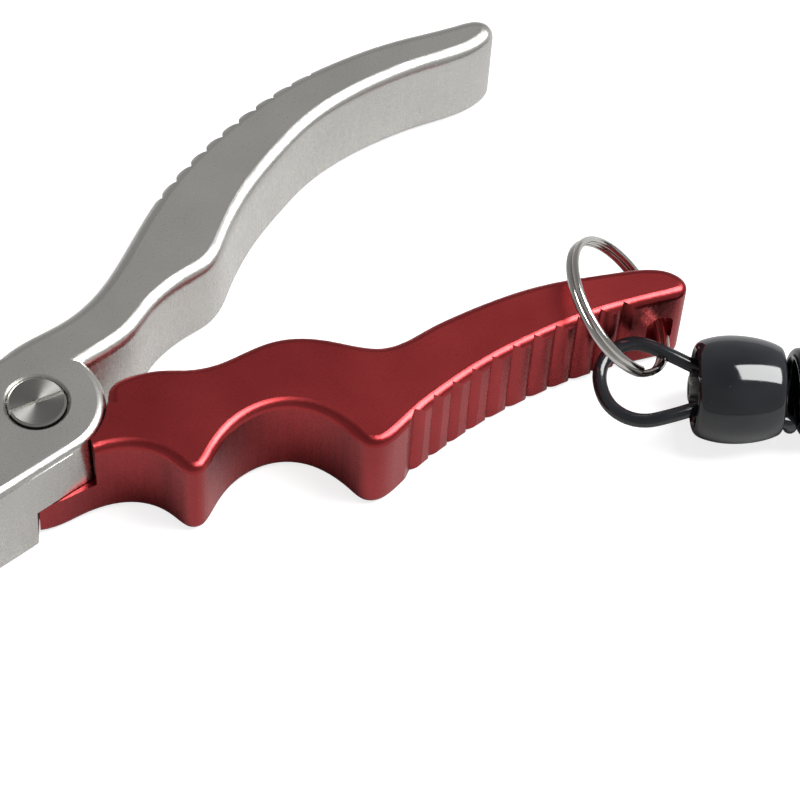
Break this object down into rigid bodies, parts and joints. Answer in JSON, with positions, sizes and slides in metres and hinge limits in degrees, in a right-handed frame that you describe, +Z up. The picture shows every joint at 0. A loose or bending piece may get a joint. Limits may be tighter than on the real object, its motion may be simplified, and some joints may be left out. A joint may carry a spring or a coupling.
{
  "type": "fishing pliers",
  "caption": "Needle-nose fishing pliers with two aluminium handles crossing on a pivot screw, steel jaws with side cutters, a split ring and a coiled lanyard with a clip.",
  "frame": {"origin": "on the pivot axis, in the plane of the underside that the pliers lie on", "axes": "+X from the pivot between the two handles, jaws towards -X; +Z up along the pivot axis; +Y to the silver handle's side"},
  "size_m": [0.2726, 0.091, 0.0207],
  "materials": {
    "silver": "satin anodised",
    "red": "satin anodised",
    "turned_steel": "turned",
    "washer": "plain",
    "spring_steel": "drawn wire",
    "jaw_steel": "bead blasted",
    "black_screw": "black oxide",
    "carbide": "ground",
    "ring_steel": "polished wire",
    "black_ferrule": "gloss",
    "crimp": "dull",
    "cord": "gloss",
    "clip_metal": "satin black"
  },
  "bodies": {
    "silver_half": {"silver_handle": "silver", "pivot_screw": "turned_steel", "pivot_nut": "turned_steel", "nut_washer": "washer", "lap_washer": "washer", "return_spring": "spring_steel", "lower_jaw": "jaw_steel", "lower_jaw_screws": "black_screw", "lower_cutter": "carbide", "lower_cutter_screw": "black_screw"},
    "red_half": {"red_handle": "red", "upper_jaw": "jaw_steel", "upper_jaw_screws": "black_screw", "upper_cutter": "carbide", "upper_cutter_screw": "black_screw"},
    "ring": {"split_ring": "ring_steel"},
    "lanyard": {"near_ferrule": "black_ferrule", "near_crimp": "crimp", "near_loop": "cord", "cord_coil": "cord", "far_ferrule": "black_ferrule", "far_crimp": "crimp", "far_loop": "cord"},
    "clip": {"clip_body": "clip_metal", "gate_pin": "turned_steel"},
    "gate": {"clip_gate": "clip_metal"}
  },
  "joints": [
    {"name": "handle_close", "type": "hinge", "parent": "silver_half", "child": "red_half", "pos_m": [0, 0, 0], "axis": [0, 0, 1], "range_deg": [0, 20], "stiffness_Nm_per_rad": 0.3, "springref_deg": -28.65},
    {"name": "ring_swing", "type": "hinge", "parent": "red_half", "child": "ring", "pos_m": [0.0849, -0.0225, 0.0069], "axis": [0.4067, 0.9136, 0], "range_deg": [0, 25]},
    {"name": "lanyard_swing", "type": "hinge", "parent": "red_half", "child": "lanyard", "pos_m": [0.0798, -0.0306, 0.0064], "axis": [0, 0, 1], "range_deg": [0, 20]},
    {"name": "clip_swing", "type": "hinge", "parent": "lanyard", "child": "clip", "pos_m": [0.17631, -0.01795, 0.0074], "axis": [0, 0, 1], "range_deg": [-35, 35]},
    {"name": "gate_open", "type": "hinge", "parent": "clip", "child": "gate", "pos_m": [0.17757, -0.00165, 0.00583], "axis": [0.0937, 0.0884, 0.9917], "range_deg": [-25, 0], "stiffness_Nm_per_rad": 0.02, "springref_deg": 17.19}
  ]
}
